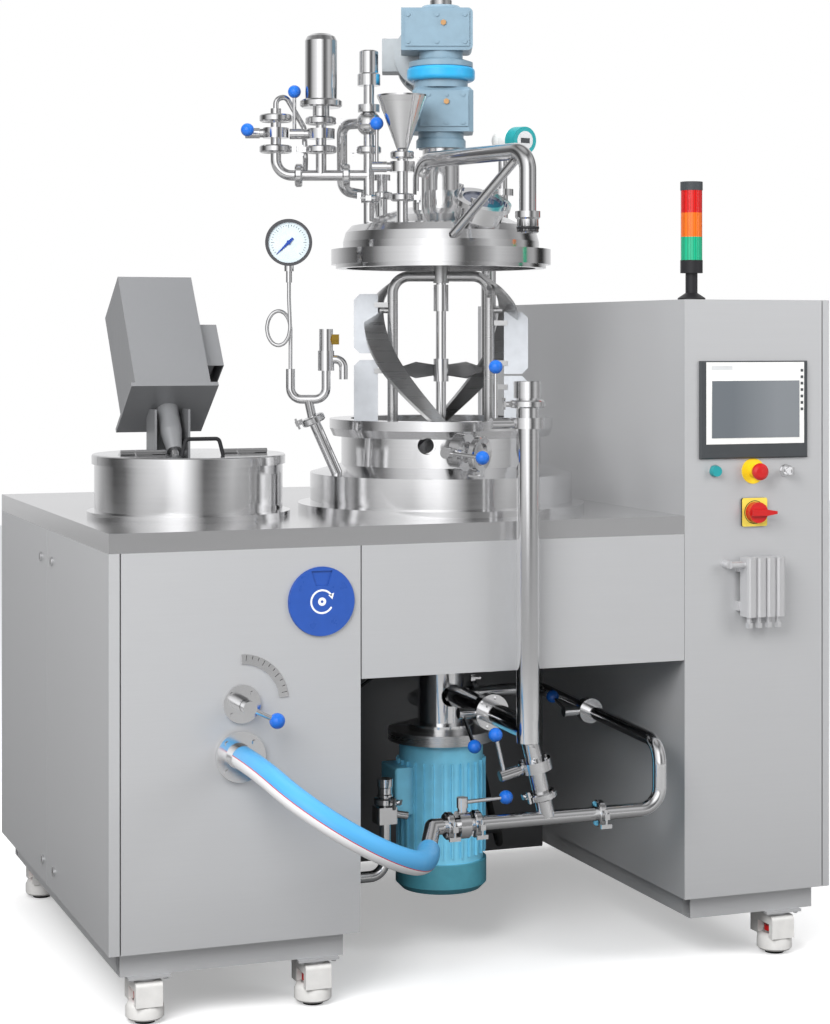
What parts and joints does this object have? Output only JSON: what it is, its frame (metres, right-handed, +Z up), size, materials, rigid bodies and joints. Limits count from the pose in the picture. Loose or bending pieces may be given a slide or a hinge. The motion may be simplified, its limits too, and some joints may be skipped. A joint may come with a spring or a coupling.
{
  "type": "vacuum homogenizer",
  "caption": "Vacuum homogenizer: jacketed vessel with raised domed lid, anchor agitator and scrapers, bottom homogenizer, side pot with stirrer, circulation pipes, control cabinet, on casters.",
  "frame": {"origin": "on the floor, under the middle of the machine's bounding box (the hose not counted)", "axes": "+X to the operator's right, +Y from the front to the back, +Z up"},
  "size_m": [1.725, 1.6037, 2.25],
  "materials": {
    "polished_steel": "polished",
    "brushed_sheet": "brushed",
    "table_steel": "satin",
    "bare_aluminium": "polished",
    "drive_paint": "satin",
    "motor_paint": "satin",
    "clear_glass": "clear",
    "dark_plastic": "matte",
    "teal_plastic": "matte",
    "white_plastic": "matte",
    "red_plastic": "gloss",
    "blue_plastic": "gloss",
    "caster_nylon": "matte",
    "black_paint": "matte",
    "hose_rubber": "satin",
    "black_rubber": "satin"
  },
  "bodies": {
    "machine": {"base_frame": "brushed_sheet", "table_top": "table_steel", "body_panels": "brushed_sheet", "left_front_panel": "brushed_sheet", "control_cabinet": "brushed_sheet", "control_front_panel": "brushed_sheet", "panel_hardware": "polished_steel", "touch_screen": "dark_plastic", "signal_tower": "dark_plastic", "air_valve_bank": "bare_aluminium", "vessel_shell": "polished_steel", "vessel_jacket": "polished_steel", "homogenizer_housing": "polished_steel", "homogenizer_motor": "motor_paint", "side_pot": "polished_steel", "side_pot_lid": "polished_steel", "stirrer_mount": "brushed_sheet", "stirrer_cover": "brushed_sheet", "pressure_gauge": "polished_steel", "circulation_pipes": "polished_steel", "pipe_fittings": "polished_steel", "water_hose": "hose_rubber", "motor_cables": "black_rubber", "lift_column": "polished_steel"},
    "lid": {"vessel_lid": "polished_steel", "lift_arm": "polished_steel", "agitator_drive": "drive_paint", "sight_glass": "clear_glass", "air_filter": "polished_steel", "feed_funnel": "polished_steel", "lid_piping": "polished_steel", "feed_pipe": "polished_steel", "level_transmitter": "teal_plastic"},
    "agitator": {"anchor_agitator": "polished_steel", "wall_scrapers": "white_plastic"},
    "impeller": {"impeller_shaft": "polished_steel"},
    "rotor": {"homogenizer_rotor": "polished_steel"},
    "pot_stirrer": {"side_pot_stirrer": "polished_steel"},
    "pot_hatch": {"side_pot_hatch": "polished_steel"},
    "stop_button": {"emergency_stop": "red_plastic"},
    "key": {"key_switch": "polished_steel"},
    "power_switch": {"main_switch": "red_plastic"},
    "needle": {"gauge_needle": "black_paint"},
    "dial": {"status_disc": "blue_plastic"},
    "filter_handle": {"filter_valve_handle": "polished_steel"},
    "vacuum_handle": {"vacuum_valve_handle": "polished_steel"},
    "funnel_handle": {"funnel_valve_handle": "polished_steel"},
    "standpipe_handle": {"standpipe_valve_handle": "polished_steel"},
    "side_handle": {"side_valve_handle": "polished_steel"},
    "outlet_handle": {"outlet_valve_handle": "polished_steel"},
    "return_handle": {"return_valve_handle": "polished_steel"},
    "rear_handle": {"rear_valve_handle": "polished_steel"},
    "hose_handle": {"hose_valve_handle": "polished_steel"},
    "remote_handle": {"remote_valve_handle": "polished_steel"},
    "caster_1_body": {"caster_1": "caster_nylon"},
    "caster_2_body": {"caster_2": "caster_nylon"},
    "caster_3_body": {"caster_3": "caster_nylon"},
    "caster_4_body": {"caster_4": "caster_nylon"},
    "caster_5_body": {"caster_5": "caster_nylon"},
    "caster_6_body": {"caster_6": "caster_nylon"}
  },
  "joints": [
    {"name": "lid_lift", "type": "slide", "parent": "machine", "child": "lid", "axis": [0, 0, 1], "range_m": [-0.355, 0]},
    {"name": "agitator_spin", "type": "hinge", "parent": "lid", "child": "agitator", "pos_m": [0.0325, -0.18315, 1.6], "axis": [0, 0, 1], "continuous": true},
    {"name": "impeller_spin", "type": "hinge", "parent": "lid", "child": "impeller", "pos_m": [0.0325, -0.18315, 1.6], "axis": [0, 0, 1], "continuous": true},
    {"name": "rotor_spin", "type": "hinge", "parent": "machine", "child": "rotor", "pos_m": [0.0325, -0.18315, 0.6], "axis": [0, 0, 1], "continuous": true},
    {"name": "pot_stirrer_spin", "type": "hinge", "parent": "machine", "child": "pot_stirrer", "pos_m": [-0.6105, -0.15415, 1.183], "axis": [0, 0.5821, 0.8131], "continuous": true},
    {"name": "hatch_hinge", "type": "hinge", "parent": "machine", "child": "pot_hatch", "pos_m": [-0.5785, -0.18815, 1.1885], "axis": [-1, 0, 0], "range_deg": [0, 95]},
    {"name": "stop_press", "type": "slide", "parent": "machine", "child": "stop_button", "axis": [0, 1, 0], "range_m": [0, 0.005]},
    {"name": "key_turn", "type": "hinge", "parent": "machine", "child": "key", "pos_m": [0.7435, -0.58615, 1.139], "axis": [0, -1, 0], "range_deg": [-90, 0]},
    {"name": "power_turn", "type": "hinge", "parent": "machine", "child": "power_switch", "pos_m": [0.661, -0.58115, 1.044], "axis": [0, -1, 0], "range_deg": [0, 90]},
    {"name": "dial_turn", "type": "hinge", "parent": "machine", "child": "dial", "pos_m": [-0.3935, -0.57115, 0.881], "axis": [0, -1, 0], "continuous": true},
    {"name": "needle_turn", "type": "hinge", "parent": "machine", "child": "needle", "pos_m": [-0.36173, -0.23153, 1.667], "axis": [-0.3518, -0.9361, 0], "range_deg": [-270, 0]},
    {"name": "filter_valve_turn", "type": "hinge", "parent": "lid", "child": "filter_handle", "pos_m": [-0.2446, -0.11318, 1.93], "axis": [-0.9361, 0.3518, 0], "range_deg": [-90, 0]},
    {"name": "vacuum_valve_turn", "type": "hinge", "parent": "lid", "child": "vacuum_handle", "pos_m": [-0.34476, -0.07553, 1.932], "axis": [-0.9361, 0.3518, 0], "range_deg": [0, 90]},
    {"name": "funnel_valve_turn", "type": "hinge", "parent": "lid", "child": "funnel_handle", "pos_m": [-0.10757, -0.29715, 1.843], "axis": [-0.9361, 0.3518, 0], "range_deg": [-90, 0]},
    {"name": "standpipe_valve_turn", "type": "hinge", "parent": "machine", "child": "standpipe_handle", "pos_m": [0.0715, -0.61115, 1.26], "axis": [-1, 0, 0], "range_deg": [0, 90]},
    {"name": "side_valve_turn", "type": "hinge", "parent": "machine", "child": "side_handle", "pos_m": [-0.0287, -0.47254, 1.1916], "axis": [-0.8102, -0.5861, 0], "range_deg": [0, 90]},
    {"name": "outlet_valve_turn", "type": "hinge", "parent": "machine", "child": "outlet_handle", "pos_m": [0.0595, -0.42314, 0.5945], "axis": [-1, 0, 0], "range_deg": [0, 90]},
    {"name": "return_valve_turn", "type": "hinge", "parent": "machine", "child": "return_handle", "pos_m": [0.08793, -0.61415, 0.50455], "axis": [-0.9738, 0, -0.2276], "range_deg": [0, 90]},
    {"name": "rear_valve_turn", "type": "hinge", "parent": "machine", "child": "rear_handle", "pos_m": [0.3925, -0.24336, 0.54996], "axis": [-1, 0, 0], "range_deg": [0, 90]},
    {"name": "hose_valve_turn", "type": "hinge", "parent": "machine", "child": "hose_handle", "pos_m": [-0.0865, -0.61615, 0.387], "axis": [0, 0, 1], "range_deg": [0, 90]},
    {"name": "remote_valve_turn", "type": "hinge", "parent": "machine", "child": "remote_handle", "pos_m": [-0.5715, -0.15815, 0.671], "axis": [0, -1, 0], "range_deg": [0, 90]},
    {"name": "caster_1_swivel", "type": "hinge", "parent": "machine", "child": "caster_1_body", "pos_m": [-0.7655, -0.50214, 0.1], "axis": [0, 0, 1], "continuous": true},
    {"name": "caster_2_swivel", "type": "hinge", "parent": "machine", "child": "caster_2_body", "pos_m": [-0.7655, 0.61986, 0.1], "axis": [0, 0, 1], "continuous": true},
    {"name": "caster_3_swivel", "type": "hinge", "parent": "machine", "child": "caster_3_body", "pos_m": [-0.3915, -0.50214, 0.1], "axis": [0, 0, 1], "continuous": true},
    {"name": "caster_4_swivel", "type": "hinge", "parent": "machine", "child": "caster_4_body", "pos_m": [-0.3915, 0.61986, 0.1], "axis": [0, 0, 1], "continuous": true},
    {"name": "caster_5_swivel", "type": "hinge", "parent": "machine", "child": "caster_5_body", "pos_m": [0.7525, -0.50214, 0.1], "axis": [0, 0, 1], "continuous": true},
    {"name": "caster_6_swivel", "type": "hinge", "parent": "machine", "child": "caster_6_body", "pos_m": [0.7525, 0.61986, 0.1], "axis": [0, 0, 1], "continuous": true}
  ],
  "couplings": [
    {"joint": "impeller_spin", "follows": "agitator_spin", "ratio": -1}
  ]
}
